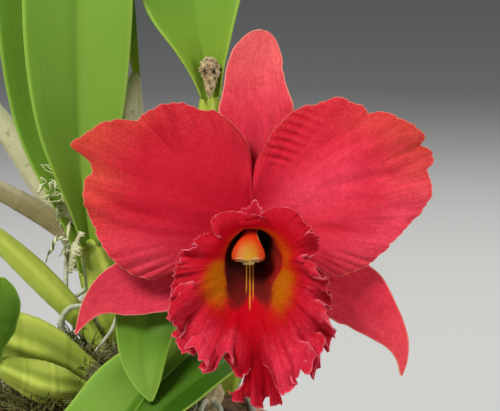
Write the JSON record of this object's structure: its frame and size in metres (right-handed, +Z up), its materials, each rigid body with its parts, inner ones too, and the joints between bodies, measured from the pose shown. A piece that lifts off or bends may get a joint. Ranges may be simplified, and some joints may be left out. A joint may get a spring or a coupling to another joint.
{
  "type": "cattleya orchid in a pot",
  "caption": "Cattleya orchid in bloom: a frilled red flower with a yellow-marked lip, green pseudobulbs and leathery leaves, in a clay pot of bark.",
  "frame": {"origin": "middle of the underside of the pot's foot", "axes": "+Z up along the pot's axis; the bloom faces -Y"},
  "size_m": [0.1988, 0.1832, 0.3123],
  "materials": {
    "clay": "matt, slightly dusty",
    "bark": "rough and dull",
    "creeping_stem": "fibrous, dull",
    "pseudobulb_green": "satin, ribbed",
    "pseudobulb_dry": "papery, dull",
    "leaf_green": "leathery, satin sheen",
    "root_grey": "corky, dull",
    "petal_red": "velvety, fine glitter of cells",
    "lip_red": "velvety, frilled rim",
    "column_orange": "waxy",
    "cap_yellow": "waxy",
    "stalk_green": "satin"
  },
  "bodies": {
    "root": {"anther_cap": "cap_yellow", "bark": "bark", "bulb_back": "pseudobulb_green", "bulb_back_low": "pseudobulb_green", "bulb_behind_bloom": "pseudobulb_green", "bulb_bloom": "pseudobulb_green", "bulb_fat": "pseudobulb_green", "bulb_left_leaf": "pseudobulb_green", "bulb_low": "pseudobulb_green", "bulb_low_right": "pseudobulb_green", "bulb_lowest": "pseudobulb_green", "bulb_old_brown": "pseudobulb_dry", "bulb_old_grey": "pseudobulb_dry", "bulb_right": "pseudobulb_green", "bulb_sheathed": "pseudobulb_dry", "bulb_slender": "pseudobulb_green", "bulb_tall_leaf": "pseudobulb_green", "column": "column_orange", "dry_sheath": "pseudobulb_dry", "flower_stalk": "stalk_green", "leaf_back": "leaf_green", "leaf_back_low": "leaf_green", "leaf_behind_bloom": "leaf_green", "leaf_edge_on": "leaf_green", "leaf_fat_bulb": "leaf_green", "leaf_hanging": "leaf_green", "leaf_left": "leaf_green", "leaf_low_front": "leaf_green", "leaf_low_left": "leaf_green", "leaf_low_right": "leaf_green", "leaf_old_grey": "leaf_green", "leaf_right": "leaf_green", "leaf_slender_bulb": "leaf_green", "leaf_tall": "leaf_green", "lip": "lip_red", "petal_left": "petal_red", "petal_right": "petal_red", "pot": "clay", "rhizome": "creeping_stem", "root_1": "root_grey", "root_2": "root_grey", "root_3": "root_grey", "root_4": "root_grey", "root_5": "root_grey", "root_6": "root_grey", "root_7": "root_grey", "sepal_left": "petal_red", "sepal_right": "petal_red", "sepal_top": "petal_red"}
  },
  "joints": []
}
